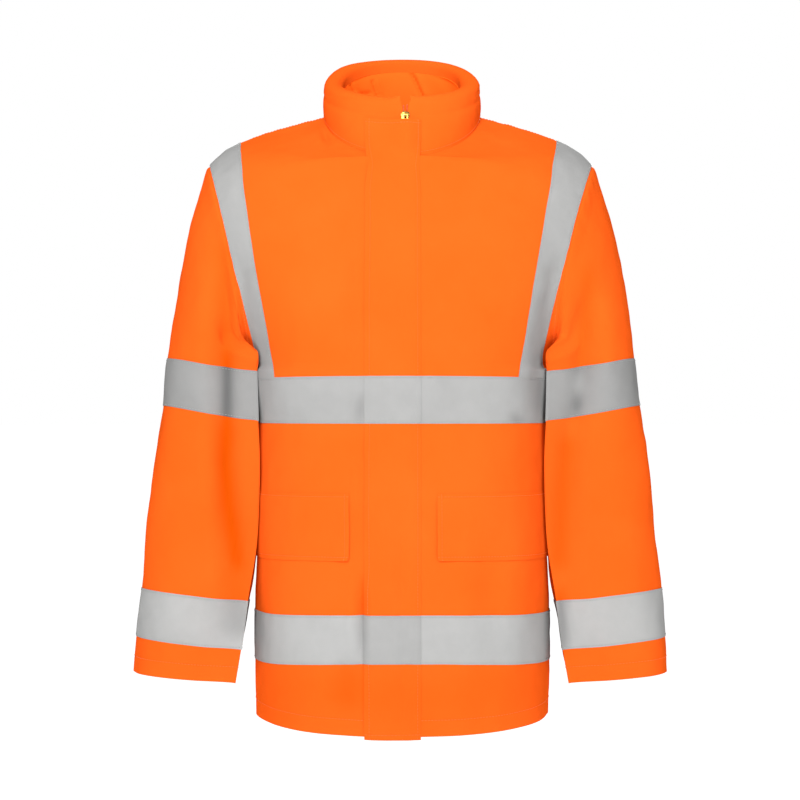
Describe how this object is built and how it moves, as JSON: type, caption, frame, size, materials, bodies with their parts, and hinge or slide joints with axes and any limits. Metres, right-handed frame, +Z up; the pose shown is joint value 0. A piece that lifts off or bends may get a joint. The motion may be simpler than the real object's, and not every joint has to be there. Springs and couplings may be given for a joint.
{
  "type": "jacket",
  "caption": "High-visibility waterproof jacket with reflective bands, zip under a storm flap, pocket flaps and a raised rolled collar, filled out as worn.",
  "frame": {"origin": "midway between the two side-neck points, at shoulder level", "axes": "+Z up the body, the front faces -Y, the wearer's right is -X"},
  "size_m": [0.6888, 0.3126, 0.869],
  "materials": {
    "orange_cloth": "matt coated weave, fluorescent",
    "silver_tape": "reflective, grey in daylight",
    "brass": "satin"
  },
  "bodies": {
    "jacket": {"front_right_upper": "orange_cloth", "front_right_lower": "orange_cloth", "front_left_upper": "orange_cloth", "front_left_lower": "orange_cloth", "back_upper": "orange_cloth", "back_lower": "orange_cloth", "sleeve_right_cap": "orange_cloth", "sleeve_right_upper": "orange_cloth", "sleeve_right_band": "orange_cloth", "sleeve_right_lower": "orange_cloth", "sleeve_left_cap": "orange_cloth", "sleeve_left_upper": "orange_cloth", "sleeve_left_band": "orange_cloth", "sleeve_left_lower": "orange_cloth", "collar": "orange_cloth", "collar_inner": "orange_cloth", "storm_flap": "orange_cloth", "pocket_flap_right": "orange_cloth", "pocket_flap_left": "orange_cloth", "zip_tape": "orange_cloth", "chest_tape_right": "silver_tape", "chest_tape_left": "silver_tape", "chest_tape_back": "silver_tape", "chest_tape_flap": "silver_tape", "hem_tape_right": "silver_tape", "hem_tape_left": "silver_tape", "hem_tape_back": "silver_tape", "hem_tape_flap": "silver_tape", "brace_tape_right": "silver_tape", "brace_tape_left": "silver_tape", "sleeve_tape_upper_right": "silver_tape", "sleeve_tape_lower_right": "silver_tape", "sleeve_tape_upper_left": "silver_tape", "sleeve_tape_lower_left": "silver_tape", "zip_slider": "brass", "stud_1": "brass", "stud_2": "brass", "stud_3": "brass", "stud_4": "brass", "stud_5": "brass"},
    "pull": {"zip_pull": "brass"}
  },
  "joints": [
    {"name": "pull_hinge", "type": "hinge", "parent": "jacket", "child": "pull", "pos_m": [0.004, -0.0893, -0.0099], "axis": [-1, 0, 0], "range_deg": [0, 7]}
  ]
}
